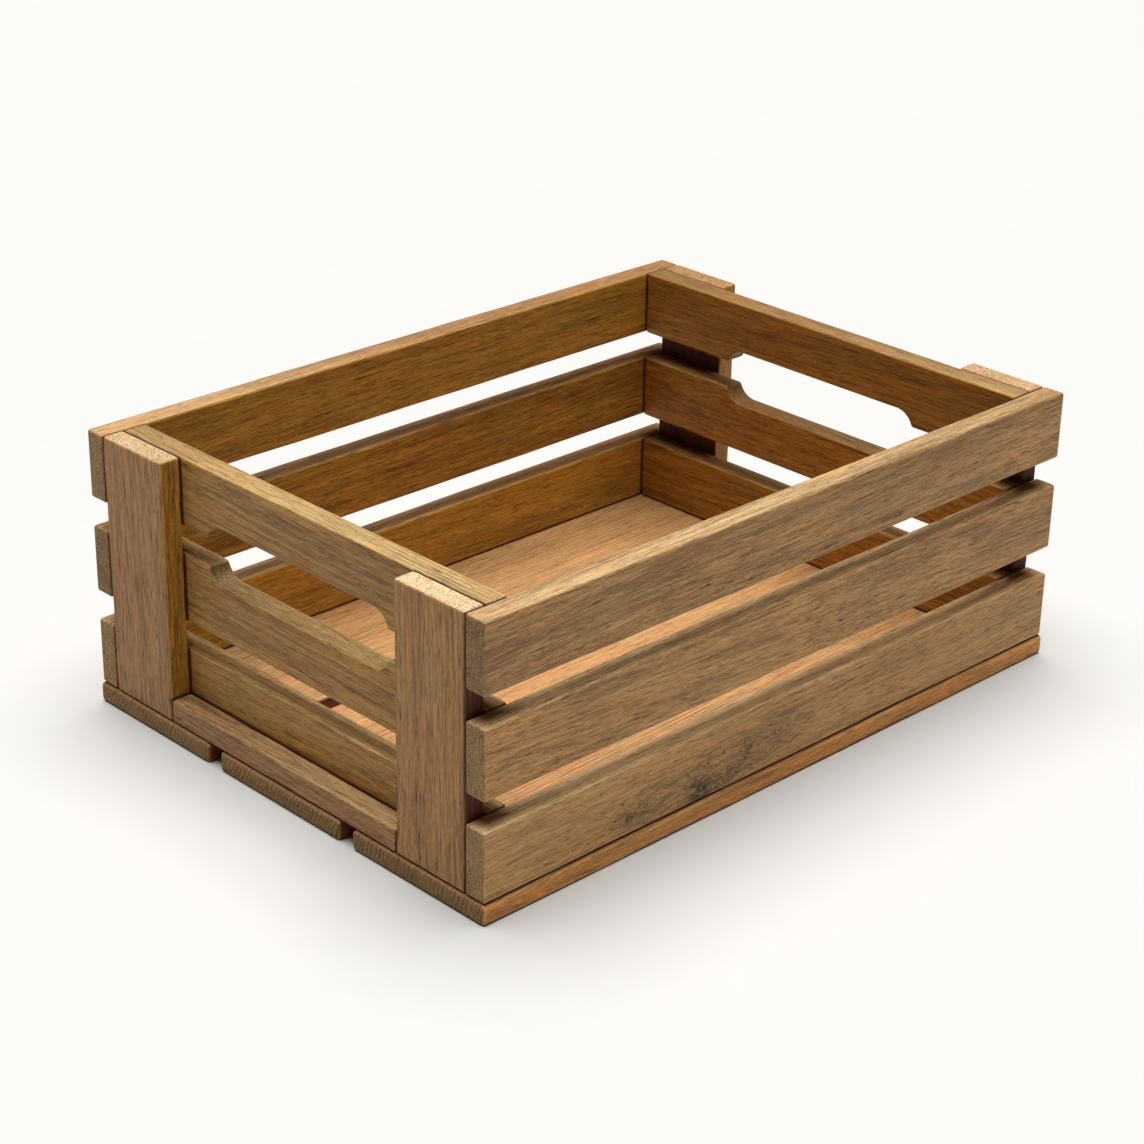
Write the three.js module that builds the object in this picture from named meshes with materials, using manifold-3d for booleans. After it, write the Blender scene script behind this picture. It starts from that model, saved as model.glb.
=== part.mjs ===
// Slatted wooden apple crate. Millimetres, +Z up, origin at the bottom centre of the crate.
// X runs along the crate: "left" is the -X end and "right" the +X end.
// Y runs across it: "front" is the -Y long side and "back" the +Y long side.

import * as THREE from 'three';
import { mergeVertices } from 'three/addons/utils/BufferGeometryUtils.js';
import Module from 'manifold-3d';

const wasm = await Module();
wasm.setup();

// ---------------------------------------------------------------- driving dimensions

const LENGTH = 430; // over the bottom boards
const WIDTH = 310; // over the bottom boards
const HEIGHT = 159; // from the ground to the top of the slats and posts

const JOINT = 0.3; // clearance left at every glued joint
const EASE = 1.1; // chamfer around the two faces of a piece
const CORNER = 1.4; // rounding of a piece's outline

const BOTTOM_THICKNESS = 11.4;
const BOTTOM_GAP = 9.5; // between two bottom boards
const BOTTOM_ROUND = 2.4; // long edges of the bottom boards
const OVERHANG = 1; // how far the bottom boards stand proud of the walls

const SLAT_HEIGHT = 38.3;
const SLAT_THICKNESS = 13.5;

const POST_WIDTH = 49.5; // across the end of the crate
const POST_THICKNESS = 13;
const RAIL_HEIGHT = 12.9;

const HOLD_DEPTH = 8.3; // how far the hand-hole is cut into each of its two slats
const HOLD_FLAT = 119; // straight part of the cut
const HOLD_RADIUS = 12; // inner corners of the cut
const HOLD_LIP = 2.2; // rounding where the cut meets the edge of the slat

const DOWEL_RADIUS = 3;
const DOWEL_CHAMFER = 0.8;
const DOWEL_SIDES = 10;
const SIDE_DOWEL_IN_SLAT = 8.5; // depth in a side slat
const SIDE_DOWEL_IN_POST = 20; // depth in the edge of a post
const END_DOWEL_IN_SLAT = 9; // depth in an end slat
const END_DOWEL_IN_POST = 8.5; // depth in the face of a post
const END_DOWEL_INSET = 43; // from the outer edge of the post

const SCREW_LENGTH = 30;
const SCREW_RADIUS = 2;
const SCREW_HEAD_RADIUS = 4;
const SCREW_HEAD_HEIGHT = 2.6;
const SCREW_TIP = 5;
const SCREW_RECESS = 0.8; // head above the underside
const SCREW_SIDES = 12;
const SCREW_SPREAD = 48; // between the two screws at one end of a board

// ---------------------------------------------------------------- derived places

const wallX = LENGTH / 2 - OVERHANG; // outer face of the posts and ends of the side slats
const wallY = WIDTH / 2 - OVERHANG; // outer face of the side slats
const innerY = wallY - SLAT_THICKNESS; // inner face of the side slats
const postX = wallX - POST_THICKNESS / 2;
const postInnerX = wallX - POST_THICKNESS;
const postOuterY = innerY - JOINT;
const postY = postOuterY - POST_WIDTH / 2;
const postInnerY = postOuterY - POST_WIDTH;
const endSlatX = postInnerX - JOINT - SLAT_THICKNESS / 2;
const floorZ = BOTTOM_THICKNESS + JOINT; // underside of everything that stands on the bottom
const slatStep = (HEIGHT - SLAT_HEIGHT - floorZ) / 2;
const boardWidth = (WIDTH - 2 * BOTTOM_GAP) / 3;
const boardStep = boardWidth + BOTTOM_GAP;

const LEVELS = [
  { name: 'bottom', z: floorZ + SLAT_HEIGHT / 2 },
  { name: 'middle', z: floorZ + SLAT_HEIGHT / 2 + slatStep },
  { name: 'top', z: floorZ + SLAT_HEIGHT / 2 + 2 * slatStep },
];
const ENDS = [
  { name: 'left', sign: -1 },
  { name: 'right', sign: 1 },
];
const SIDES = [
  { name: 'front', sign: -1 },
  { name: 'back', sign: 1 },
];
const BOARDS = [
  { name: 'front', y: -boardStep },
  { name: 'middle', y: 0 },
  { name: 'back', y: boardStep },
];

// ---------------------------------------------------------------- materials

function teak(color) {
  return new THREE.MeshStandardMaterial({ color, roughness: 0.6, metalness: 0 });
}

const sideTeak = teak('#8d6b45');
const endTeak = teak('#86673f');
const postTeak = teak('#8f6d48');
const floorTeak = teak('#b98452');
const dowelBeech = teak('#c9a878');
const screwSteel = new THREE.MeshStandardMaterial({ color: '#c2bda9', roughness: 0.35, metalness: 1 });

// ---------------------------------------------------------------- basic shapes

function roundedRectangle(width, height, radius) {
  const x = width / 2 - radius;
  const y = height / 2 - radius;
  const shape = new THREE.Shape();
  shape.moveTo(-x, -y - radius);
  shape.lineTo(x, -y - radius);
  shape.absarc(x, -y, radius, -Math.PI / 2, 0);
  shape.lineTo(x + radius, y);
  shape.absarc(x, y, radius, 0, Math.PI / 2);
  shape.lineTo(-x, y + radius);
  shape.absarc(-x, y, radius, Math.PI / 2, Math.PI);
  shape.lineTo(-x - radius, -y);
  shape.absarc(-x, -y, radius, Math.PI, 1.5 * Math.PI);
  return shape;
}

// The outline of an end slat with half of the hand-hole cut into its upper edge.
function notchedRectangle(width, height, radius) {
  const x = width / 2 - radius;
  const y = height / 2 - radius;
  const top = height / 2;
  const cutX = HOLD_FLAT / 2;
  const cutY = top - HOLD_DEPTH + HOLD_RADIUS;
  const lipY = top - HOLD_LIP;
  const reach = HOLD_RADIUS + HOLD_LIP;
  const lipX = cutX + Math.sqrt(reach ** 2 - (cutY - lipY) ** 2);
  const tilt = Math.asin((cutY - lipY) / reach);
  const shape = new THREE.Shape();
  shape.moveTo(-x, -top);
  shape.lineTo(x, -top);
  shape.absarc(x, -y, radius, -Math.PI / 2, 0);
  shape.lineTo(width / 2, y);
  shape.absarc(x, y, radius, 0, Math.PI / 2);
  shape.lineTo(lipX, top);
  shape.absarc(lipX, lipY, HOLD_LIP, Math.PI / 2, Math.PI - tilt);
  shape.absarc(cutX, cutY, HOLD_RADIUS, -tilt, -Math.PI / 2, true);
  shape.lineTo(-cutX, top - HOLD_DEPTH);
  shape.absarc(-cutX, cutY, HOLD_RADIUS, -Math.PI / 2, -Math.PI + tilt, true);
  shape.absarc(-lipX, lipY, HOLD_LIP, tilt, Math.PI / 2);
  shape.lineTo(-x, top);
  shape.absarc(-x, y, radius, Math.PI / 2, Math.PI);
  shape.lineTo(-width / 2, -y);
  shape.absarc(-x, -y, radius, Math.PI, 1.5 * Math.PI);
  return shape;
}

// An outline given a thickness, centred, with the edges of its two faces chamfered.
function easedPlate(shape, thickness, curveSegments) {
  const geometry = new THREE.ExtrudeGeometry(shape, {
    depth: thickness - 2 * EASE,
    bevelEnabled: true,
    bevelThickness: EASE,
    bevelSize: EASE,
    bevelOffset: -EASE,
    bevelSegments: 1,
    curveSegments,
  });
  geometry.translate(0, 0, EASE - thickness / 2);
  return geometry;
}

// Turns a plate drawn in XY so that its outline lies in YZ and its thickness along X.
function facingX(geometry) {
  geometry.rotateX(Math.PI / 2);
  geometry.rotateZ(Math.PI / 2);
  return geometry;
}

// A turned solid standing along Z, from radius and height pairs that start and end on the axis.
function turned(profile, sides) {
  const points = profile.map(([radius, height]) => new THREE.Vector2(radius, height));
  const geometry = new THREE.LatheGeometry(points, sides);
  geometry.rotateX(Math.PI / 2);
  return geometry;
}

// ---------------------------------------------------------------- joining and cutting

// A closed solid from a geometry whose vertices may still be doubled.
function solidOf(geometry) {
  const bare = geometry.clone();
  bare.deleteAttribute('normal');
  bare.deleteAttribute('uv');
  const merged = mergeVertices(bare, 1e-4);
  const triangles = [];
  const index = merged.index.array;
  for (let i = 0; i < index.length; i += 3) {
    const [a, b, c] = [index[i], index[i + 1], index[i + 2]];
    if (a !== b && b !== c && c !== a) {
      triangles.push(a, b, c);
    }
  }
  const mesh = new wasm.Mesh({
    numProp: 3,
    vertProperties: new Float32Array(merged.attributes.position.array),
    triVerts: new Uint32Array(triangles),
  });
  return new wasm.Manifold(mesh);
}

function geometryOf(solid) {
  const mesh = solid.getMesh();
  const geometry = new THREE.BufferGeometry();
  geometry.setAttribute('position', new THREE.BufferAttribute(mesh.vertProperties, 3));
  geometry.setIndex(new THREE.BufferAttribute(mesh.triVerts, 1));
  geometry.computeVertexNormals();
  return geometry;
}

const crate = new THREE.Group();
crate.name = 'apple_crate';

// Adds one piece at its place and drills the fastener holes that belong in it.
function addPiece(name, geometry, material, place, fasteners) {
  let solid = solidOf(geometry);
  for (const fastener of fasteners) {
    const hole = fastener.hole.clone();
    hole.translate(...fastener.place.map((value, axis) => value - place[axis]));
    solid = solid.subtract(solidOf(hole));
  }
  const mesh = new THREE.Mesh(geometryOf(solid), material);
  mesh.name = name;
  mesh.position.set(...place);
  crate.add(mesh);
}

// ---------------------------------------------------------------- fasteners

function dowel(length, extra) {
  const radius = DOWEL_RADIUS + extra;
  const end = length / 2 + extra;
  const profile = [
    [0, -end],
    [radius - DOWEL_CHAMFER, -end],
    [radius, -end + DOWEL_CHAMFER],
    [radius, end - DOWEL_CHAMFER],
    [radius - DOWEL_CHAMFER, end],
    [0, end],
  ];
  return turned(profile, DOWEL_SIDES);
}

function screw(extra) {
  const head = SCREW_HEAD_RADIUS + extra;
  const shank = SCREW_RADIUS + extra;
  const start = extra > 0 ? -2 * SCREW_RECESS : 0;
  const profile = [
    [0, start],
    [head, start],
    [head, 0.01],
    [shank, SCREW_HEAD_HEIGHT],
    [shank, SCREW_LENGTH - SCREW_TIP + extra],
    [0, SCREW_LENGTH + 2 * extra],
  ];
  return turned(profile, SCREW_SIDES);
}

// Dowels along Y between the side slats and the edges of the posts.
const sideDowels = [];
const sideDowelLength = SIDE_DOWEL_IN_SLAT + JOINT + SIDE_DOWEL_IN_POST - 2 * JOINT;
const sideDowelY = innerY + (SIDE_DOWEL_IN_SLAT - JOINT - SIDE_DOWEL_IN_POST) / 2;
for (const end of ENDS) {
  for (const side of SIDES) {
    for (const level of LEVELS) {
      sideDowels.push({
        name: `side_dowel_${end.name}_${side.name}_${level.name}`,
        body: dowel(sideDowelLength, 0).rotateX(Math.PI / 2),
        hole: dowel(sideDowelLength, JOINT).rotateX(Math.PI / 2),
        place: [end.sign * postX, side.sign * sideDowelY, level.z],
        end,
        side,
        level,
      });
    }
  }
}

// Dowels along X between the end slats and the posts.
const endDowels = [];
const endDowelLength = END_DOWEL_IN_SLAT + JOINT + END_DOWEL_IN_POST - 2 * JOINT;
const endDowelX = postInnerX + (END_DOWEL_IN_POST - JOINT - END_DOWEL_IN_SLAT) / 2;
for (const end of ENDS) {
  for (const side of SIDES) {
    for (const level of LEVELS) {
      endDowels.push({
        name: `end_dowel_${end.name}_${side.name}_${level.name}`,
        body: dowel(endDowelLength, 0).rotateY(Math.PI / 2),
        hole: dowel(endDowelLength, JOINT).rotateY(Math.PI / 2),
        place: [end.sign * endDowelX, side.sign * (postOuterY - END_DOWEL_INSET), level.z],
        end,
        side,
        level,
      });
    }
  }
}

// Screws from below, through the bottom boards into the bottom end slats.
const screws = [];
for (const end of ENDS) {
  for (const board of BOARDS) {
    for (const side of SIDES) {
      screws.push({
        name: `screw_${end.name}_${board.name}_board_${side.name}`,
        body: screw(0),
        hole: screw(JOINT),
        place: [end.sign * endSlatX, board.y + (side.sign * SCREW_SPREAD) / 2, SCREW_RECESS],
        end,
        board,
      });
    }
  }
}

// ---------------------------------------------------------------- wooden pieces

function buildBottomBoards() {
  for (const board of BOARDS) {
    const section = roundedRectangle(boardWidth, BOTTOM_THICKNESS, BOTTOM_ROUND);
    addPiece(
      `bottom_board_${board.name}`,
      facingX(easedPlate(section, LENGTH, 1)),
      floorTeak,
      [0, board.y, BOTTOM_THICKNESS / 2],
      screws.filter((item) => item.board === board),
    );
  }
}

function buildSideSlats() {
  for (const side of SIDES) {
    for (const level of LEVELS) {
      const section = roundedRectangle(SLAT_THICKNESS, SLAT_HEIGHT, CORNER);
      addPiece(
        `side_slat_${side.name}_${level.name}`,
        facingX(easedPlate(section, 2 * wallX, 1)),
        sideTeak,
        [0, side.sign * (innerY + SLAT_THICKNESS / 2), level.z],
        sideDowels.filter((item) => item.side === side && item.level === level),
      );
    }
  }
}

function buildEndSlats() {
  for (const end of ENDS) {
    for (const level of LEVELS) {
      const outline = level.name === 'bottom' ? roundedRectangle : notchedRectangle;
      const segments = level.name === 'bottom' ? 1 : 3;
      const slat = easedPlate(outline(2 * postOuterY, SLAT_HEIGHT, CORNER), SLAT_THICKNESS, segments);
      facingX(slat);
      if (level.name === 'top') {
        slat.rotateX(Math.PI);
      }
      const fasteners = endDowels.filter((item) => item.end === end && item.level === level);
      if (level.name === 'bottom') {
        fasteners.push(...screws.filter((item) => item.end === end));
      }
      addPiece(
        `end_slat_${end.name}_${level.name}`,
        slat,
        endTeak,
        [end.sign * endSlatX, 0, level.z],
        fasteners,
      );
    }
  }
}

function buildPosts() {
  const height = HEIGHT - floorZ;
  for (const end of ENDS) {
    for (const side of SIDES) {
      addPiece(
        `post_${end.name}_${side.name}`,
        easedPlate(roundedRectangle(POST_THICKNESS, POST_WIDTH, CORNER), height, 1),
        postTeak,
        [end.sign * postX, side.sign * postY, floorZ + height / 2],
        [...sideDowels, ...endDowels].filter((item) => item.end === end && item.side === side),
      );
    }
  }
}

function buildRails() {
  const length = 2 * (postInnerY - JOINT);
  for (const end of ENDS) {
    addPiece(
      `end_rail_${end.name}`,
      easedPlate(roundedRectangle(POST_THICKNESS, RAIL_HEIGHT, CORNER), length, 1).rotateX(Math.PI / 2),
      postTeak,
      [end.sign * postX, 0, floorZ + RAIL_HEIGHT / 2],
      [],
    );
  }
}

function buildFasteners() {
  for (const item of [...sideDowels, ...endDowels]) {
    addPiece(item.name, item.body, dowelBeech, item.place, []);
  }
  for (const item of screws) {
    addPiece(item.name, item.body, screwSteel, item.place, []);
  }
}

buildBottomBoards();
buildSideSlats();
buildEndSlats();
buildPosts();
buildRails();
buildFasteners();

export default crate;
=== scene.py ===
import math
import random

import bmesh
import bpy
from mathutils import Matrix, Vector


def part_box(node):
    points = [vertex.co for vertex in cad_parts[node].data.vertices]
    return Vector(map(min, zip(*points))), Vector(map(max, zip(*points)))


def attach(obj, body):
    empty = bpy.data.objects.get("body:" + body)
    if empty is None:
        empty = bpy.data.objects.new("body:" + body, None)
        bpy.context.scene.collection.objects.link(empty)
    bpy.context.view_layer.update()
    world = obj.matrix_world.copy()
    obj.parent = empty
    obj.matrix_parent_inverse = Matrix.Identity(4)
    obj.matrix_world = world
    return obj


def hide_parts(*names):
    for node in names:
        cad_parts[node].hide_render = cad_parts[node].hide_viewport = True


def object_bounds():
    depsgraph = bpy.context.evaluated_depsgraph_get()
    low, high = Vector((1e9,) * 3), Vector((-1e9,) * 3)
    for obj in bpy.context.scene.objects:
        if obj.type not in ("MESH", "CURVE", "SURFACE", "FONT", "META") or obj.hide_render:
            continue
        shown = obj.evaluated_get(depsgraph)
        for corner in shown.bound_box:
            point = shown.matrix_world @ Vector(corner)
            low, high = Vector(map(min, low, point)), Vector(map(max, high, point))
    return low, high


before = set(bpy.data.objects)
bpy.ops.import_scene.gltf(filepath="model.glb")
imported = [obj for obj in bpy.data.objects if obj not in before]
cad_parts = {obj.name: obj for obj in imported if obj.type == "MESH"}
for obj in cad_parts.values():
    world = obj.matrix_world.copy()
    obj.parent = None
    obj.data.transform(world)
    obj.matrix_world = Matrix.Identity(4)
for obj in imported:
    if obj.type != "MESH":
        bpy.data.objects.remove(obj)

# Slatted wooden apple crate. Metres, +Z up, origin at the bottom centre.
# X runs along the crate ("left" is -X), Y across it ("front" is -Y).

cad_box = [list(corner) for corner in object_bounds()]
MM = 0.001

# ---------------------------------------------------------------- sizes

ARRIS = 1.7 * MM  # rounding along the length of a slat or post
BOARD_ARRIS = 2.5 * MM  # the same on the bottom boards
END_ARRIS = 1.6 * MM  # rounding around a sawn end
BOARD_END_ARRIS = 2.4 * MM  # the same on the bottom boards
FACE_ARRIS = 1.2 * MM  # rounding around the faces of the end slats
ARC_STEPS = 5  # facets in a rounded edge
STATIONS = 40  # sections along a board
ARRIS_WANDER = 0.22  # share by which a hand-eased edge varies along its length
EASE_SPANS = STATIONS // 4  # stretches over which it varies

HOLD_DEPTH = 8.3 * MM  # how far the hand-hole is cut into each of its two slats
HOLD_FLAT = 119 * MM  # straight part of the cut
HOLD_RADIUS = 12 * MM  # inner corners of the cut
HOLD_LIP = 2.2 * MM  # rounding where the cut meets the edge of the slat
HOLD_STEPS = 14  # facets in an inner corner

CLEARANCE = 0.3 * MM  # around a fastener in its hole
SHANK_RADIUS = 2 * MM
SCREW_HEAD_HEIGHT = 2.6 * MM
SCREW_TIP = 5 * MM
RECESS_DEPTH = 1.7 * MM  # cross recess in a screw head
RECESS_REACH = 2.3 * MM
RECESS_WIDTH = 0.95 * MM
HEAD_LIP = 0.35 * MM  # rounding of a screw head's rim
THREAD_CLEAR = 6 * MM  # plain shank between the head and the thread
THREAD_TURNS = 10
THREAD_CORE = 0.72 * SHANK_RADIUS

RING = 2.7 * MM  # one year of growth
SEAM_REACH = 1.4 * MM  # how far the painted shade spreads from a joint
SHADE_REACH = 1.5 * MM  # how far a darkened face fades over its rounded edges

AXES = {"x": Vector((1, 0, 0)), "y": Vector((0, 1, 0)), "z": Vector((0, 0, 1))}

# ---------------------------------------------------------------- materials


class Nodes:
    """A material built from expressions. Values are numbers, vectors or sockets."""

    def __init__(self, name):
        self.material = bpy.data.materials.new(name)
        self.material.use_nodes = True
        self.tree = self.material.node_tree
        self.tree.nodes.clear()
        self.output = self.tree.nodes.new("ShaderNodeOutputMaterial")
        self.shader = self.tree.nodes.new("ShaderNodeBsdfPrincipled")
        self.tree.links.new(self.shader.outputs["BSDF"], self.output.inputs["Surface"])

    def feed(self, socket, value):
        if isinstance(value, bpy.types.NodeSocket):
            self.tree.links.new(value, socket)
        else:
            socket.default_value = value

    def math(self, operation, *values):
        node = self.tree.nodes.new("ShaderNodeMath")
        node.operation = operation
        for socket, value in zip(node.inputs, values):
            self.feed(socket, value)
        return node.outputs[0]

    def add(self, *values):
        total = values[0]
        for value in values[1:]:
            total = self.math("ADD", total, value)
        return total

    def times(self, *values):
        product = values[0]
        for value in values[1:]:
            product = self.math("MULTIPLY", product, value)
        return product

    def vector(self, operation, *values):
        node = self.tree.nodes.new("ShaderNodeVectorMath")
        node.operation = operation
        for socket, value in zip(node.inputs, values):
            self.feed(socket, value)
        return node.outputs["Value" if operation in ("LENGTH", "DOT_PRODUCT") else "Vector"]

    def scaled(self, vector, factor):
        node = self.tree.nodes.new("ShaderNodeVectorMath")
        node.operation = "SCALE"
        self.feed(node.inputs["Vector"], vector)
        self.feed(node.inputs["Scale"], factor)
        return node.outputs["Vector"]

    def separate(self, vector):
        node = self.tree.nodes.new("ShaderNodeSeparateXYZ")
        self.feed(node.inputs[0], vector)
        return node.outputs

    def attribute(self, name):
        node = self.tree.nodes.new("ShaderNodeAttribute")
        node.attribute_name = name
        return node.outputs["Vector"]

    def noise(self, vector, scales, detail=2.0, roughness=0.5, output="Fac"):
        """Noise in a space stretched by three scales, in cycles per metre."""
        node = self.tree.nodes.new("ShaderNodeTexNoise")
        self.feed(node.inputs["Vector"], self.vector("MULTIPLY", vector, scales))
        node.inputs["Scale"].default_value = 1.0
        node.inputs["Detail"].default_value = detail
        node.inputs["Roughness"].default_value = roughness
        return node.outputs[output]

    def range(self, value, low, high, to_low=0.0, to_high=1.0):
        node = self.tree.nodes.new("ShaderNodeMapRange")
        node.interpolation_type = "SMOOTHSTEP"
        for socket, given in zip(node.inputs, (value, low, high, to_low, to_high)):
            self.feed(socket, given)
        return node.outputs[0]

    def mix(self, share, first, second, blend="MIX"):
        node = self.tree.nodes.new("ShaderNodeMix")
        node.data_type = "RGBA"
        node.blend_type = blend
        self.feed(node.inputs[0], share)
        self.feed(node.inputs[6], first)
        self.feed(node.inputs[7], second)
        return node.outputs[2]

    def ramp(self, value, stops):
        node = self.tree.nodes.new("ShaderNodeValToRGB")
        node.color_ramp.interpolation = "B_SPLINE"
        elements = node.color_ramp.elements
        while len(elements) < len(stops):
            elements.new(0.5)
        for element, (place, color) in zip(elements, stops):
            element.position = place
            element.color = (*color, 1)
        self.feed(node.inputs[0], value)
        return node.outputs[0]

    def bump(self, height, strength, distance):
        node = self.tree.nodes.new("ShaderNodeBump")
        node.inputs["Strength"].default_value = strength
        node.inputs["Distance"].default_value = distance
        self.feed(node.inputs["Height"], height)
        return node.outputs["Normal"]

    def finish(self, color, roughness, normal, **constants):
        self.feed(self.shader.inputs["Base Color"], color)
        self.feed(self.shader.inputs["Roughness"], roughness)
        self.feed(self.shader.inputs["Normal"], normal)
        for name, value in constants.items():
            self.shader.inputs[name.replace("_", " ").title().replace("Ior", "IOR")].default_value = value
        return self.material


WHITE = (1, 1, 1, 1)
MIDDLE = (0.5, 0.5, 0.5)

# What multiplies the wood's colour
PAINTED_TOP_LIGHT = (1.10, 1.33, 1.92, 1)  # painted light on the faces turned up, strongest at the front left
PAINTED_TOP_SHADE = (0.62, 0.57, 0.56, 1)  # painted shade on them, strongest at the back right
COOLER = (0.955, 1.015, 1.03, 1)
REDDER = (1.055, 0.985, 0.93, 1)
WARM = (1.08, 0.95, 0.80, 1)
SHADE_COLOR = (0.22, 0.085, 0.045, 1)  # painted shade in a joint and on faces close to another board

BURNISHED = (0.60, 0.42, 0.25, 1)  # the colour of a handled edge

# Noise scales in cycles per metre, along the grain and both ways across it
BENDS = (4, 42, 42)
ZONES = (5, 60, 60)
FIBRE = (40, 1300, 1300)
STREAKS = (11, 480, 480)
GRIT = (420, 1300, 1300)
SAWN = (30, 1300, 260)
PATCHES = (6, 70, 70)
HUES = (16, 260, 260)
PORES = (120, 1600, 1600)
DASHES = (30, 1250, 1250)
VEINS = (3, 210, 210)
WEAR = (55, 300, 300)

BEND_REACH = (0, 0.007, 0.007)  # how far the grain wanders sideways, in metres
PORE_SHADE = 0.35  # share of the light lost in the pores
DASH_SHADE = 0.46  # in the dark vessel lines
VEIN_SHADE = 0.22  # in the broad veins


def shades(color, dark, light):
    """A dark, middle and light tone of one wood, as ramp stops."""
    return [
        (0.12, [channel * factor for channel, factor in zip(color, dark)]),
        (0.5, color),
        (0.88, [channel * factor for channel, factor in zip(color, light)]),
    ]


def teak(name, outer, inner, end_tint, end_rings=0.2, contrast=1.2, veins=1.0, top_light=PAINTED_TOP_LIGHT, knots=()):
    """Oiled teak. The mesh carries the log's own coordinates, so that long faces show
    straight grain and sawn ends show rings and pores.
    outer is the colour of the faces turned out of the crate and inner of the faces turned into it,
    lit and shaded copies of one wood: painted light and shade. top_light is the painted light on
    faces turned up, end_tint what a sawn end makes of it and end_rings how dark its rings are.
    knots are (place, size, depth) on the one board that has them."""
    n = Nodes(name)
    log = n.attribute("log")
    look = n.separate(n.attribute("look"))  # tone, warmth, share of the painted light on faces turned up
    trace = n.separate(n.attribute("trace"))  # worn edge, painted shade at joints and on faces close to another board
    face = geometry_normal(n)

    end = n.math("ABSOLUTE", n.vector("DOT_PRODUCT", n.attribute("grain_axis"), face))
    end = n.range(end, 0.55, 0.95)
    # faces turned out of the crate get the outer colour and the others the inner: painted light and shade
    outward = n.range(n.vector("DOT_PRODUCT", n.attribute("outer_way"), face), -0.9, -0.3)

    wander = n.vector("SUBTRACT", n.noise(log, BENDS, 2, output="Color"), MIDDLE)
    bent = n.vector("ADD", log, n.vector("MULTIPLY", wander, BEND_REACH))
    stain = 0.0
    for place, size, depth in knots:
        away = n.vector("SUBTRACT", n.attribute("knot"), place)
        reach = n.vector("LENGTH", n.vector("DIVIDE", away, size))
        swirl = n.math("EXPONENT", n.times(reach, reach, -1.0))
        eddy = n.vector("SUBTRACT", n.noise(log, (60, 150, 150), 1, output="Color"), MIDDLE)
        bent = n.vector("ADD", bent, n.scaled(eddy, n.times(swirl, 0.022)))
        blotch = n.range(n.noise(bent, (45, 420, 420), 3, 0.7), 0.38, 0.60, 0.25, 1.0)
        stain = n.add(stain, n.times(swirl, blotch, depth))

    across = n.vector("MULTIPLY", bent, (0, 1, 1))
    radius = n.vector("LENGTH", across)
    uneven = n.noise(across, (1, 70, 70), 1)
    ring = n.add(n.times(radius, 1 / RING), n.times(uneven, 1.6))
    wave = n.math("COSINE", n.times(ring, math.tau))
    late = n.math("POWER", n.range(wave, -1.0, 1.0), 2.0)
    zone = n.range(n.noise(bent, ZONES, 1), 0.40, 0.62, 0.25, 1.0)
    late = n.times(late, zone)
    line = n.times(n.range(wave, 0.35, 1.0), n.range(uneven, 0.3, 0.6, 0.45, 1.0))

    fibre = n.noise(bent, FIBRE, 4, 0.80)
    streak = n.noise(bent, STREAKS, 3, 0.6)
    grit = n.noise(bent, GRIT, 2, 0.8)
    sawn = n.noise(bent, SAWN, 3, 0.7)
    patch = n.noise(bent, PATCHES, 2)
    hue = n.noise(bent, HUES, 2)
    pores = n.range(n.noise(bent, PORES, 1), 0.57, 0.67)
    pores = n.times(pores, n.range(late, 0.0, 0.9, 1.0, 0.45))
    dash = n.range(n.noise(bent, DASHES, 2), 0.61, 0.69)
    vein = n.range(n.noise(bent, VEINS, 2), 0.60, 0.72)

    tone = n.add(
        0.5,
        n.times(n.add(fibre, -0.5), 2.05 * contrast),
        n.times(n.add(grit, -0.5), 0.70 * contrast),
        n.times(n.add(sawn, -0.5), n.times(end, 1.3)),
        n.times(n.add(streak, -0.5), 0.72 * contrast),
        n.times(n.add(patch, -0.5), 0.55 * contrast),
        n.times(late, n.range(end, 0.0, 1.0, -0.20, -0.02)),
        0.05,
        look[0],
    )
    outside = n.ramp(tone, shades(outer, (0.48, 0.45, 0.40), (1.36, 1.38, 1.42)))
    inside = n.ramp(tone, shades(inner, (0.44, 0.38, 0.32), (1.40, 1.44, 1.48)))
    color = n.mix(outward, inside, outside)

    tinted = n.mix(n.range(hue, 0.36, 0.64), COOLER, REDDER)
    color = n.mix(1.0, color, tinted, "MULTIPLY")
    warm = n.mix(look[1], WHITE, WARM)
    color = n.mix(1.0, color, warm, "MULTIPLY")

    # faces turned up get painted light, paler and less saturated at the front left, and painted shade at the
    # back right
    up = n.range(n.separate(face)[2], 0.35, 0.95)
    top_lighting = n.mix(look[2], PAINTED_TOP_SHADE, top_light)
    painted_top = n.mix(n.times(up, outward), WHITE, top_lighting)
    color = n.mix(1.0, color, painted_top, "MULTIPLY")

    shadow = n.add(
        1.0,
        n.times(pores, -PORE_SHADE * contrast),
        n.times(dash, -DASH_SHADE * contrast),
        n.times(vein, -VEIN_SHADE * veins),
        n.times(stain, -1.0),
    )
    shadow = n.times(shadow, n.add(1.0, n.times(end, line, -end_rings)))
    shadow = n.times(shadow, n.add(1.0, n.times(end, pores, -0.35)))
    color = n.scaled(color, shadow)
    color = n.mix(1.0, color, n.mix(end, WHITE, (*end_tint, 1)), "MULTIPLY")

    # handled edges are burnished paler, and painted shade darkens the joints and the faces close to another
    # board
    worn = n.range(n.noise(log, WEAR, 2), 0.40, 0.66)
    rubbed = n.times(trace[0], worn, n.add(1.0, n.times(trace[1], -1.0)))
    color = n.mix(n.times(rubbed, 0.10), color, BURNISHED)
    painted_shade = n.times(n.range(trace[1], 0.1, 0.95, 0.0, 0.93), n.range(up, 0.0, 1.0, 1.0, 0.55))
    shade_tint = n.mix(painted_shade, WHITE, SHADE_COLOR)
    color = n.mix(1.0, color, shade_tint, "MULTIPLY")

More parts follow.
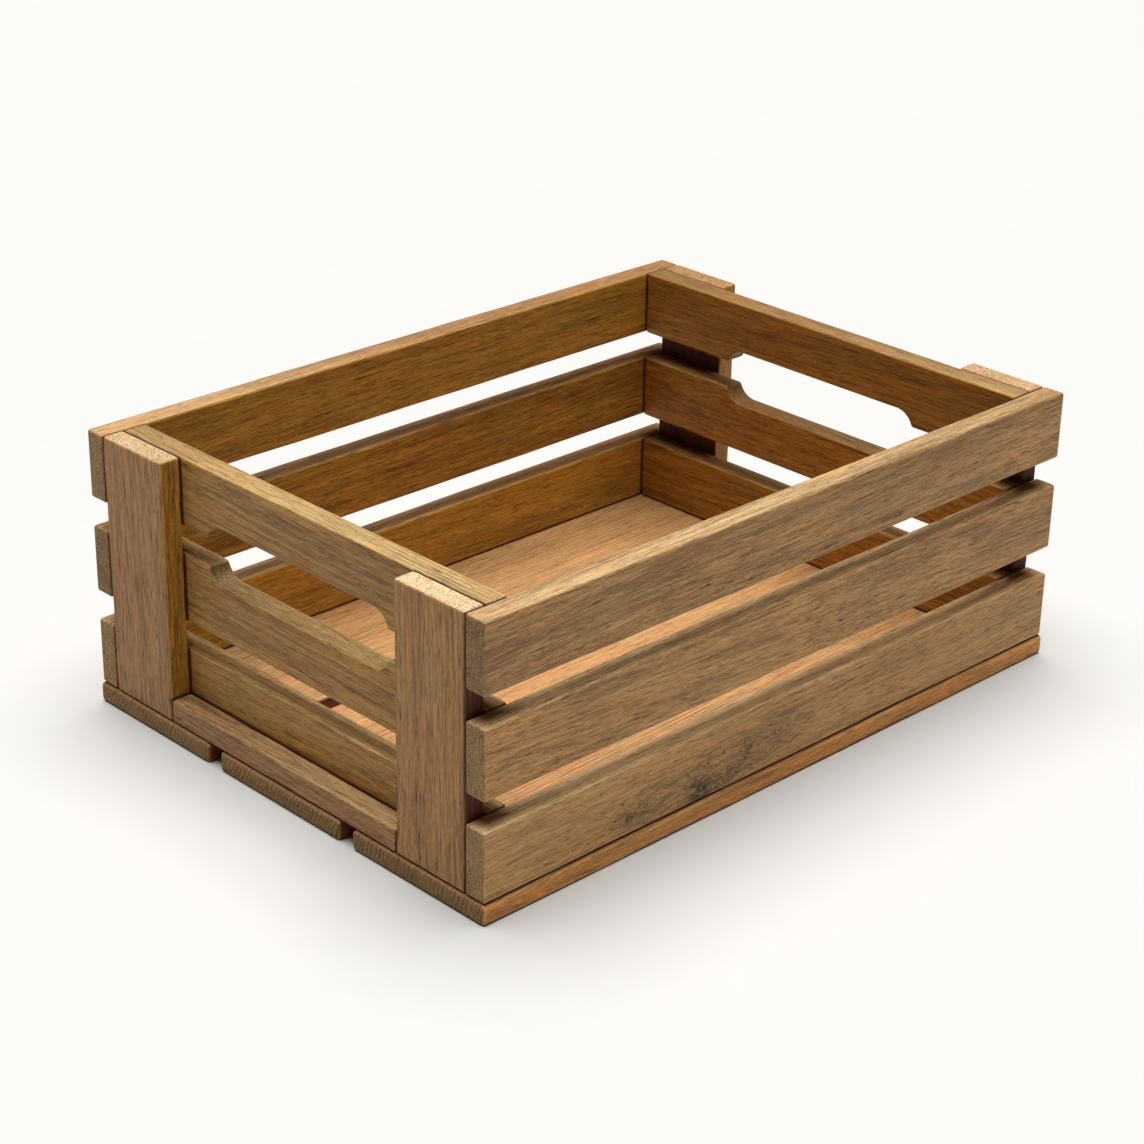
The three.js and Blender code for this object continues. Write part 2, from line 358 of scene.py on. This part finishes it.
    roughness = n.add(
        0.58,
        n.times(n.add(fibre, -0.5), -0.25),
        n.times(pores, 0.12),
        n.times(end, 0.12),
        n.times(rubbed, -0.10),
        n.times(painted_shade, 0.20),
    )
    height = n.add(
        n.times(fibre, 0.60),
        n.times(streak, 0.20),
        n.times(pores, -0.45),
        n.times(dash, -0.60),
        n.times(late, 0.10),
    )
    normal = n.bump(height, 0.5, 0.3 * MM)
    return n.finish(color, roughness, normal, ior=1.46)


def geometry_normal(n):
    return n.tree.nodes.new("ShaderNodeNewGeometry").outputs["Normal"]


def object_place(n):
    return n.tree.nodes.new("ShaderNodeTexCoord").outputs["Object"]


def beech(name):
    """Pale dowel wood with short dark flecks."""
    n = Nodes(name)
    place = object_place(n)
    fibre = n.noise(place, (900, 900, 900), 3)
    fleck = n.range(n.noise(place, (1600, 1600, 1600), 1), 0.6, 0.7)
    color = n.ramp(fibre, shades((0.56, 0.40, 0.24), (0.75, 0.70, 0.62), (1.2, 1.22, 1.25)))
    color = n.mix(n.times(fleck, 0.5), color, (0.30, 0.18, 0.09, 1))
    roughness = n.range(fibre, 0.3, 0.7, 0.50, 0.68)
    normal = n.bump(n.add(fibre, n.times(fleck, -0.6)), 0.4, 0.1 * MM)
    return n.finish(color, roughness, normal, ior=1.45)


def steel(name):
    """Zinc-plated steel, a little dulled and scratched."""
    n = Nodes(name)
    place = object_place(n)
    cloud = n.noise(place, (420, 420, 420), 3)
    scratch = n.range(n.noise(place, (2600, 520, 900), 2), 0.55, 0.70)
    color = n.ramp(cloud, shades((0.58, 0.55, 0.48), (0.66, 0.62, 0.55), (1.16, 1.17, 1.2)))
    color = n.mix(n.times(scratch, 0.35), color, (0.82, 0.80, 0.76, 1))
    roughness = n.add(n.range(cloud, 0.3, 0.7, 0.30, 0.46), n.times(scratch, 0.10))
    normal = n.bump(n.add(cloud, n.times(scratch, -0.5)), 0.25, 0.05 * MM)
    return n.finish(color, roughness, normal, metallic=1.0)


def paper(name):
    """The studio's white floor."""
    n = Nodes(name)
    speck = n.noise(object_place(n), (60, 60, 60), 2)
    color = n.ramp(speck, shades((0.54, 0.54, 0.54), (0.99, 0.99, 0.99), (1.01, 1.01, 1.01)))
    return n.finish(color, 0.9, n.bump(speck, 0.05, 0.1 * MM), specular_ior_level=0.1)


SIDE = dict(
    outer=(0.455, 0.245, 0.081), inner=(0.455, 0.235, 0.030),
    end_tint=(0.62, 0.70, 0.78), end_rings=0.28,
)
KNOTS = [
    (Vector((-43, 0, 10)) * MM, Vector((20, 20, 9)) * MM, 0.58),
    (Vector((0, 0, 7)) * MM, Vector((10, 20, 13)) * MM, 0.60),
    (Vector((16, 0, 5)) * MM, Vector((26, 20, 7)) * MM, 0.54),
    (Vector((43, 0, 16)) * MM, Vector((26, 20, 9)) * MM, 0.58),
]
side_teak = teak("side_teak", **SIDE)
knotty_teak = teak("knotty_teak", **SIDE, knots=KNOTS)
# the end slats' faces turned up get stronger painted light
end_teak = teak(
    "end_teak", outer=(0.355, 0.181, 0.037), inner=(0.33, 0.136, 0.010),
    end_tint=(0.60, 0.65, 0.70), veins=1.5, top_light=(1.20, 1.50, 2.80, 1),
)
# end_tint paints the posts' sawn ends far paler and less saturated: painted light on their tops
post_teak = teak(
    "post_teak", outer=(0.342, 0.171, 0.051), inner=(0.42, 0.192, 0.018),
    end_tint=(1.55, 1.85, 2.50), end_rings=0.05, contrast=1.25,
)
# on the bottom boards outer colours their edges, painted brighter and more orange than their top and
# underside: painted light
floor_teak = teak(
    "floor_teak", outer=(0.636, 0.275, 0.063), inner=(0.42, 0.223, 0.084),
    end_tint=(0.396, 0.510, 0.620), end_rings=0.60, contrast=0.85,
)
dowel_beech = beech("dowel_beech")
screw_steel = steel("screw_steel")

# ---------------------------------------------------------------- wooden pieces


def arc(center, radius, start, turn, steps):
    """Points and outward normals on an arc. A negative radius is a hollow corner."""
    points = []
    for step in range(steps + 1):
        angle = start + turn * step / steps
        normal = Vector((math.cos(angle), math.sin(angle)))
        points.append((Vector(center) + normal * abs(radius), normal if radius > 0 else -normal))
    return points


def rounded_outline(width, height, radius):
    """A board's section, with its four edges rounded."""
    x = width / 2 - radius
    y = height / 2 - radius
    quarter = math.pi / 2
    outline = []
    for index, (sign_x, sign_y) in enumerate([(1, -1), (1, 1), (-1, 1), (-1, -1)]):
        start = (index - 1) * quarter
        outline += arc((sign_x * x, sign_y * y), radius, start, quarter, ARC_STEPS)
    return outline


def notched_outline(width, height, radius):
    """An end slat's outline with half of the hand-hole cut into its upper edge."""
    x = width / 2 - radius
    y = height / 2 - radius
    quarter = math.pi / 2
    cut_x = HOLD_FLAT / 2
    cut_y = height / 2 - HOLD_DEPTH + HOLD_RADIUS
    lip_y = height / 2 - HOLD_LIP
    reach = HOLD_RADIUS + HOLD_LIP
    lip_x = cut_x + math.sqrt(reach**2 - (cut_y - lip_y) ** 2)
    tilt = math.asin((cut_y - lip_y) / reach)
    turn = quarter - tilt
    outline = arc((x, -y), radius, -quarter, quarter, ARC_STEPS)
    outline += arc((x, y), radius, 0, quarter, ARC_STEPS)
    outline += arc((lip_x, lip_y), HOLD_LIP, quarter, turn, ARC_STEPS)
    outline += arc((cut_x, cut_y), -HOLD_RADIUS, -tilt, -turn, HOLD_STEPS)[1:]
    outline += arc((-cut_x, cut_y), -HOLD_RADIUS, -quarter, -turn, HOLD_STEPS)
    outline += arc((-lip_x, lip_y), HOLD_LIP, tilt, turn, ARC_STEPS)[1:]
    outline += arc((-x, y), radius, quarter, quarter, ARC_STEPS)
    outline += arc((-x, -y), radius, 2 * quarter, quarter, ARC_STEPS)
    return outline


def loft(bm, rings):
    """Joins closed rings of equal length and caps both ends."""
    loops = [[bm.verts.new(point) for point in ring] for ring in rings]
    count = len(loops[0])
    for first, second in zip(loops, loops[1:]):
        for i in range(count):
            j = (i + 1) % count
            bm.faces.new((first[i], first[j], second[j], second[i]))
    bm.faces.new(list(reversed(loops[0])))
    bm.faces.new(loops[-1])
    bmesh.ops.recalc_face_normals(bm, faces=bm.faces)
    return bm


def plate(outline, thickness, rounding):
    """An outline in XY given a thickness along Z, its two faces' edges rounded."""
    half = thickness / 2
    rings = []
    for side in (-1, 1):
        for step in range(ARC_STEPS + 1):
            share = step if side < 0 else ARC_STEPS - step
            angle = share / ARC_STEPS * math.pi / 2
            inset = rounding * (1 - math.sin(angle))
            z = side * (half - rounding * (1 - math.cos(angle)))
            rings.append([(*(point - normal * inset), z) for point, normal in outline])
    return loft(bmesh.new(), rings)


def stick(width, height, length, radius, end_radius, draw):
    """A board along Z whose long edges were eased by hand, so that they vary a little."""
    half = length / 2
    wander = [draw.uniform(-1, 1) for _ in range(EASE_SPANS + 3)]
    rings = []

    def section(place, inset):
        spot = (place + half) / length * EASE_SPANS
        step = int(spot)
        share = spot - step
        share = share * share * (3 - 2 * share)
        bend = wander[step] * (1 - share) + wander[step + 1] * share
        outline = rounded_outline(width, height, radius * (1 + ARRIS_WANDER * bend))
        rings.append([(*(point - normal * inset), place) for point, normal in outline])

    for side in (-1, 1):
        for step in range(ARC_STEPS + 1):
            share = step if side < 0 else ARC_STEPS - step
            angle = share / ARC_STEPS * math.pi / 2
            inset = end_radius * (1 - math.sin(angle))
            section(side * (half - end_radius * (1 - math.cos(angle))), inset)
        if side < 0:
            for station in range(1, STATIONS):
                section((station / STATIONS - 0.5) * (length - 2 * end_radius), 0)
    return loft(bmesh.new(), rings)


def cylinder(profile, place, axis, sides=32):
    """A closed turned solid along an axis from (radius, height) pairs."""
    turn = Vector((0, 0, 1)).rotation_difference(axis).to_matrix()
    rings = []
    for radius, height in profile:
        ring = []
        for side in range(sides):
            angle = math.tau * side / sides
            ring.append(place + turn @ Vector((radius * math.cos(angle), radius * math.sin(angle), height)))
        rings.append(ring)
    return loft(bmesh.new(), rings)


def to_object(bm, name):
    mesh = bpy.data.meshes.new(name)
    bm.to_mesh(mesh)
    bm.free()
    piece = bpy.data.objects.new(name, mesh)
    bpy.context.scene.collection.objects.link(piece)
    return piece


def apply_modifiers(piece):
    shaped = bpy.data.meshes.new_from_object(piece.evaluated_get(bpy.context.evaluated_depsgraph_get()))
    old = piece.data
    piece.modifiers.clear()
    piece.data = shaped
    shaped.name = piece.name
    bpy.data.meshes.remove(old)


def cut(piece, cutters):
    """Takes closed solids out of a piece."""
    if not cutters:
        return
    joined = bmesh.new()
    for cutter in cutters:
        scrap = bpy.data.meshes.new("scrap")
        cutter.to_mesh(scrap)
        cutter.free()
        joined.from_mesh(scrap)
        bpy.data.meshes.remove(scrap)
    tool = to_object(joined, "tool")
    difference = piece.modifiers.new("cut", "BOOLEAN")
    difference.operation = "DIFFERENCE"
    difference.solver = "EXACT"
    difference.object = tool
    bpy.context.view_layer.update()
    apply_modifiers(piece)
    bpy.data.objects.remove(tool)


def set_attribute(mesh, name, values):
    mesh.attributes.new(name, "FLOAT_VECTOR", "POINT").data.foreach_set("vector", values)


def shade(piece, material):
    """Gives a piece its material and smooth shading across its rounded edges."""
    mesh = piece.data
    mesh.shade_smooth()
    mesh.set_sharp_from_angle(angle=math.radians(35))
    mesh.materials.clear()
    mesh.materials.append(material)
    weighted = piece.modifiers.new("normals", "WEIGHTED_NORMAL")
    weighted.keep_sharp = True
    weighted.weight = 80


def edge_wear(place, half):
    """1 in the middle of a rounded edge and 0 on the flats."""
    over = [max(abs(place[i]) - half[i] + ARRIS, 0) / ARRIS for i in range(3)]
    over.sort()
    return min(1.0, 2 * over[1] * over[2])


def score(piece, neighbours):
    """Adds edges where other pieces end against this one, for the painted shade beside them."""
    low, high = Vector(piece.bound_box[0]), Vector(piece.bound_box[6])
    planes = set()
    for a, b in neighbours:
        for i in range(3):
            for place in (a[i], a[i] - SEAM_REACH, b[i], b[i] + SEAM_REACH):
                if low[i] + MM < place < high[i] - MM:
                    planes.add((i, round(place, 5)))
    bm = bmesh.new()
    bm.from_mesh(piece.data)
    for i, place in sorted(planes):
        normal = Vector((i == 0, i == 1, i == 2))
        everything = [*bm.verts, *bm.edges, *bm.faces]
        bmesh.ops.bisect_plane(bm, geom=everything, dist=1e-6, plane_co=normal * place, plane_no=normal)
    bm.to_mesh(piece.data)
    bm.free()


def joint_shade(point, neighbours):
    """Painted shade: 1 where a piece touches another, fading to 0 over its rounded edge."""
    nearest = 1.0
    for low, high in neighbours:
        gap = [max(low[i] - point[i], 0, point[i] - high[i]) for i in range(3)]
        nearest = min(nearest, math.hypot(*gap))
    return min(1.0, max(0.0, 1 - (nearest - CLEARANCE) / SEAM_REACH))


def fastener_holes(node):
    """Cutters for the dowels and screws that enter a wooden node."""
    low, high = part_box(node)
    cutters = []
    for name in fasteners:
        start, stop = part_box(name)
        if any(stop[i] < low[i] or start[i] > high[i] for i in range(3)):
            continue
        center = (start + stop) / 2
        size = stop - start
        axis = max(range(3), key=lambda i: size[i])
        half = size[axis] / 2
        if name.startswith("screw"):
            head = size[0] / 2 + CLEARANCE
            shank = SHANK_RADIUS + CLEARANCE
            profile = [
                (head, -half - 2 * MM),
                (head, -half + 0.01 * MM),
                (shank, -half + SCREW_HEAD_HEIGHT),
                (shank, half - SCREW_TIP),
                (0.1 * MM, half + 2 * CLEARANCE),
            ]
        else:
            grown = min(size[i] for i in range(3)) / 2 + CLEARANCE
            profile = [(grown, -half - CLEARANCE), (grown, half + CLEARANCE)]
        cutters.append(cylinder(profile, center, AXES["xyz"[axis]]))
    return cutters


def shaded_side(place, half, ways):
    """Painted shade: 1 on the faces turned one of the given ways, fading to 0 over their rounded edges."""
    depth = min((sum(abs(way[i]) * half[i] for i in range(3)) - place.dot(way) for way in ways), default=1.0)
    return min(1.0, max(0.0, 1 - depth / SHADE_REACH))


def dress(piece, node, grain, pith, side, tone, warmth, draw, knot=None, shaded=(), both=False):
    """Gives a wooden piece the coordinates of the log it was sawn from.
    grain is the long axis, pith the way to the heart of the log, side the way out of the crate, which sets
    where the painted light and shade of the outer and inner colours fall, shaded the ways of faces that
    stand close to another board, which get painted shade.
    both makes the faces on either side of the board alike."""
    low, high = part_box(node)
    center = (low + high) / 2
    half = (high - low) / 2
    lean = Vector([draw.uniform(-LEAN, LEAN) for _ in range(3)])
    along = (grain + lean).normalized()
    first = (pith - along * pith.dot(along)).normalized()
    second = along.cross(first)
    start = draw.uniform(0, 40)
    neighbours = [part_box(name) for name in wooden if name != node]
    near = [
        (a, b) for a, b in neighbours
        if all(a[i] < high[i] + MM and b[i] > low[i] - MM for i in range(3))
    ]
    score(piece, near)
    logs, looks, traces, outer_way, knots = [], [], [], [], []
    for vertex in piece.data.vertices:
        place = vertex.co - center
        logs += [place.dot(along) + start, place.dot(first) - pith.length, place.dot(second)]
        # painted light on faces turned up: strongest at the front left, less towards the right end and the
        # back
        rightward = vertex.co.x / REACH.x
        backward = vertex.co.y / REACH.y
        top_lighting = TOP_LIGHT_MIDDLE - TOP_LIGHT_LOSS_RIGHT * rightward - TOP_LIGHT_LOSS_BACK * backward
        top_lighting = min(1.0, max(0.0, top_lighting))
        looks += [tone, warmth, top_lighting]
        painted_shade = max(joint_shade(vertex.co, near), shaded_side(place, half, shaded))
        traces += [edge_wear(place, half), painted_shade, 0]
        outer_way += list(-side if both and place.dot(side) > 0 else side)
        if knot:
            knots += list(vertex.co - knot)
    set_attribute(piece.data, "log", logs)
    set_attribute(piece.data, "look", looks)
    set_attribute(piece.data, "trace", traces)
    set_attribute(piece.data, "grain_axis", list(along) * len(piece.data.vertices))
    set_attribute(piece.data, "outer_way", outer_way)
    if knot:
        set_attribute(piece.data, "knot", knots)


def place_piece(piece, node):
    """Puts a finished piece in the frame in place of a CAD node."""
    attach(piece, "root")
    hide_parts(node)


def turned_to(grain, wide):
    """Rotation that takes Z to the grain and Y to the wide side of a board."""
    side = wide.cross(grain)
    return Matrix((side, wide, grain)).transposed().to_4x4()


def make_board(node, grain, wide, radius, material, slot, end_radius=END_ARRIS, **wood):
    """A straight board in place of a CAD node."""
    low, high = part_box(node)
    size = high - low
    thin = wide.cross(grain)
    extent = [abs(size.dot(Vector(map(abs, axis)))) for axis in (thin, wide, grain)]
    draw = random.Random(node)
    bm = stick(*extent, radius, end_radius, draw)
    bm.transform(Matrix.Translation((low + high) / 2) @ turned_to(grain, wide))
    piece = to_object(bm, f"{node}_wood")
    cut(piece, fastener_holes(node))
    dress(piece, node, grain, draw=draw, **wood)
    shade(piece, material)
    place_piece(piece, node)


def make_notched(node, flip, material, slot, **wood):
    """An end slat with half of the hand-hole, in place of a CAD node."""
    low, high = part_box(node)
    size = high - low
    draw = random.Random(node)
    bm = plate(notched_outline(size.y, size.z, ARRIS), size.x, FACE_ARRIS)
    turn = Matrix.Rotation(math.pi, 4, "X") if flip else Matrix.Identity(4)
    facing = Matrix(((0, 0, 1), (1, 0, 0), (0, 1, 0))).to_4x4()
    bm.transform(Matrix.Translation((low + high) / 2) @ turn @ facing)
    piece = to_object(bm, f"{node}_wood")
    cut(piece, fastener_holes(node))
    dress(piece, node, AXES["y"], draw=draw, **wood)
    shade(piece, material)
    place_piece(piece, node)


fasteners = [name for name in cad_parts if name.startswith(("side_dowel", "end_dowel", "screw"))]
wooden = [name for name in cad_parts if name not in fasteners]
REACH = (Vector(cad_box[1]) - Vector(cad_box[0])) / 2
LEAN = 0.035  # how far a board's grain strays from its length

# Faces turned up get painted light, strongest at the front left: its share at the middle,
# and what it loses towards the right end and the back
TOP_LIGHT_MIDDLE = 0.55
TOP_LIGHT_LOSS_RIGHT = 0.45
TOP_LIGHT_LOSS_BACK = 0.40

X, Y, Z = AXES["x"], AXES["y"], AXES["z"]
ENDS = {"left": -1, "right": 1}
SIDES = {"front": -1, "back": 1}
LEVELS = ("bottom", "middle", "top")
SLAT_TONES = {
    "front": {"bottom": 0.12, "middle": 0.02, "top": -0.10},
    "back": {"bottom": 0.12, "middle": -0.12, "top": 0.06},
}
KNOT_X = -68 * MM  # where the knots are along the front bottom slat
RAIL_DARKER = 0.10
TONE_SPREAD = 0.05
WARMTH_SPREAD = 0.35
tones = random.Random(7)


def board_tone():
    """The next board's tone and warmth."""
    return tones.uniform(-TONE_SPREAD, TONE_SPREAD), tones.uniform(0.0, WARMTH_SPREAD)


def toward(first, second, degrees, distance):
    """A way between two axes, as a vector of a given length."""
    angle = math.radians(degrees)
    return (first * math.cos(angle) + second * math.sin(angle)) * distance


for side, sign in SIDES.items():
    for level in LEVELS:
        node = f"side_slat_{side}_{level}"
        tone, warmth = board_tone()
        tone += SLAT_TONES[side][level]
        low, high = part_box(node)
        knot = Vector((KNOT_X, low.y, low.z)) if node == "side_slat_front_bottom" else None
        make_board(
            node, X, Z, ARRIS, knotty_teak if knot else side_teak, "side_teak",
            pith=toward(Y * sign, Z, tones.uniform(3, 12), 0.12),
            side=Y * sign, tone=tone, warmth=warmth, knot=knot,
        )

for end, sign in ENDS.items():
    for level in LEVELS:
        node = f"end_slat_{end}_{level}"
        tone, warmth = board_tone()
        wood = dict(
            pith=toward(X * sign, Z, tones.uniform(15, 40), 0.08),
            side=X * sign, tone=tone, warmth=warmth,
        )
        if level == "bottom":
            make_board(node, Y, Z, FACE_ARRIS, end_teak, "end_teak", **wood)
        else:
            make_notched(node, level == "top", end_teak, "end_teak", **wood)

for end, end_sign in ENDS.items():
    for side, side_sign in SIDES.items():
        tone, warmth = board_tone()
        # each post's face turned towards the crate's middle and its face behind the side slats get painted
        # shade
        make_board(
            f"post_{end}_{side}", Z, Y, ARRIS, post_teak, "post_teak",
            pith=toward(X * end_sign, Y, tones.uniform(20, 50), 0.075),
            side=Y * side_sign, tone=tone, warmth=warmth,
            shaded=(X * -end_sign, Y * side_sign),
        )

for end, sign in ENDS.items():
    tone, warmth = board_tone()
    make_board(
        f"end_rail_{end}", Y, Z, ARRIS, post_teak, "post_teak",
        pith=toward(X * sign, Z, tones.uniform(15, 30), 0.075),
        side=X * sign, tone=tone - RAIL_DARKER, warmth=warmth,
    )

# the bottom boards' faces that look into the gaps between them get painted shade
FACING = {"front": (Y,), "middle": (Y, -Y), "back": (-Y,)}
for name, ways in FACING.items():
    tone, warmth = board_tone()
    make_board(
        f"bottom_board_{name}", X, Y, BOARD_ARRIS, floor_teak, "floor_teak",
        pith=toward(Y, Z, tones.uniform(8, 22), 0.11),
        side=-Z, tone=tone, warmth=warmth, shaded=ways, both=True, end_radius=BOARD_END_ARRIS,
    )

# ---------------------------------------------------------------- fasteners


def make_screw(node):
    """A countersunk wood screw with a cross recess, in place of a CAD node."""
    low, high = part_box(node)
    center = (low + high) / 2
    size = high - low
    head = size.x / 2
    half = size.z / 2
    profile = [
        (head - HEAD_LIP, -half),
        (head - 0.1 * MM, -half + 0.1 * MM),
        (head, -half + HEAD_LIP),
        (SHANK_RADIUS, -half + SCREW_HEAD_HEIGHT),
    ]
    thread_start = -half + SCREW_HEAD_HEIGHT + THREAD_CLEAR
    pitch = (half - SCREW_TIP - thread_start) / THREAD_TURNS
    for turn in range(THREAD_TURNS):
        profile.append((THREAD_CORE, thread_start + pitch * (turn + 0.15)))
        profile.append((SHANK_RADIUS, thread_start + pitch * (turn + 0.5)))
        profile.append((THREAD_CORE, thread_start + pitch * (turn + 0.85)))
    profile.append((THREAD_CORE, half - SCREW_TIP))
    profile.append((0.1 * MM, half))
    piece = to_object(cylinder(profile, center, Z, 40), f"{node}_steel")
    arms = []
    for length, width in ((RECESS_REACH, RECESS_WIDTH / 2), (RECESS_WIDTH / 2, RECESS_REACH)):
        rings = []
        for depth, taper in ((-0.5 * MM, 1.0), (RECESS_DEPTH, 0.55)):
            x = length * (taper if length > width else 0.85)
            y = width * (taper if width > length else 0.85)
            base = center + Vector((0, 0, -half + depth))
            corners = ((-x, -y, 0), (x, -y, 0), (x, y, 0), (-x, y, 0))
            rings.append([base + Vector(corner) for corner in corners])
        arms.append(loft(bmesh.new(), rings))
    for arm in arms:
        cut(piece, [arm])
    shade(piece, screw_steel)
    place_piece(piece, node)


for name in fasteners:
    if name.startswith("screw"):
        make_screw(name)
    else:
        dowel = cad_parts[name]
        for index in range(len(dowel.material_slots)):
            dowel.material_slots[index].material = dowel_beech

# ---------------------------------------------------------------- studio

FLOOR_REACH = 12  # from its middle to each side, in metres
FLOOR_CELLS = 24
FILL_LIGHT = 0.04  # the studio's dim surroundings

floor_mesh = bmesh.new()
bmesh.ops.create_grid(floor_mesh, x_segments=FLOOR_CELLS, y_segments=FLOOR_CELLS, size=FLOOR_REACH)
floor = to_object(floor_mesh, "studio_floor")
floor.data.materials.append(paper("studio_paper"))

scene = bpy.context.scene
scene.view_settings.view_transform = "Standard"

world = bpy.data.worlds.new("studio")
world.use_nodes = True
world.node_tree.nodes["Background"].inputs["Color"].default_value = (1, 1, 1, 1)
world.node_tree.nodes["Background"].inputs["Strength"].default_value = FILL_LIGHT
scene.world = world


def sun(name, azimuth, elevation, strength, softness, color):
    """A soft distant light. Azimuth 0 stands at the front of the crate, 90 at its right."""
    light = bpy.data.lights.new(name, "SUN")
    light.energy = strength
    light.angle = math.radians(softness)
    light.color = color
    lamp = bpy.data.objects.new(name, light)
    a, e = math.radians(azimuth), math.radians(elevation)
    way = Vector((math.sin(a) * math.cos(e), -math.cos(a) * math.cos(e), math.sin(e)))
    lamp.rotation_euler = way.to_track_quat("Z", "Y").to_euler()
    scene.collection.objects.link(lamp)


sun("overhead_softbox", azimuth=150, elevation=85, strength=5.6, softness=58, color=(1.0, 0.985, 0.96))

LENS = 82.92
AIM = Vector((-9.3, 0.6, 66.5)) * MM
DISTANCE = 1438.8 * MM
AZIMUTH = 44.36  # the camera stands this far round from the front towards the left end
ELEVATION = 24.974
ROLL = 1.065

camera_data = bpy.data.cameras.new("camera")
camera_data.lens = LENS
camera_data.sensor_width = 36
camera = bpy.data.objects.new("camera", camera_data)
azimuth, elevation = math.radians(AZIMUTH), math.radians(ELEVATION)
back = Vector((
    -math.sin(azimuth) * math.cos(elevation),
    -math.cos(azimuth) * math.cos(elevation),
    math.sin(elevation),
))
camera.location = AIM + back * DISTANCE
facing = back.to_track_quat("Z", "Y").to_matrix() @ Matrix.Rotation(math.radians(ROLL), 3, "Z")
camera.rotation_euler = facing.to_euler()
camera_data.clip_start = 0.05
camera_data.clip_end = 60
scene.collection.objects.link(camera)
scene.camera = camera
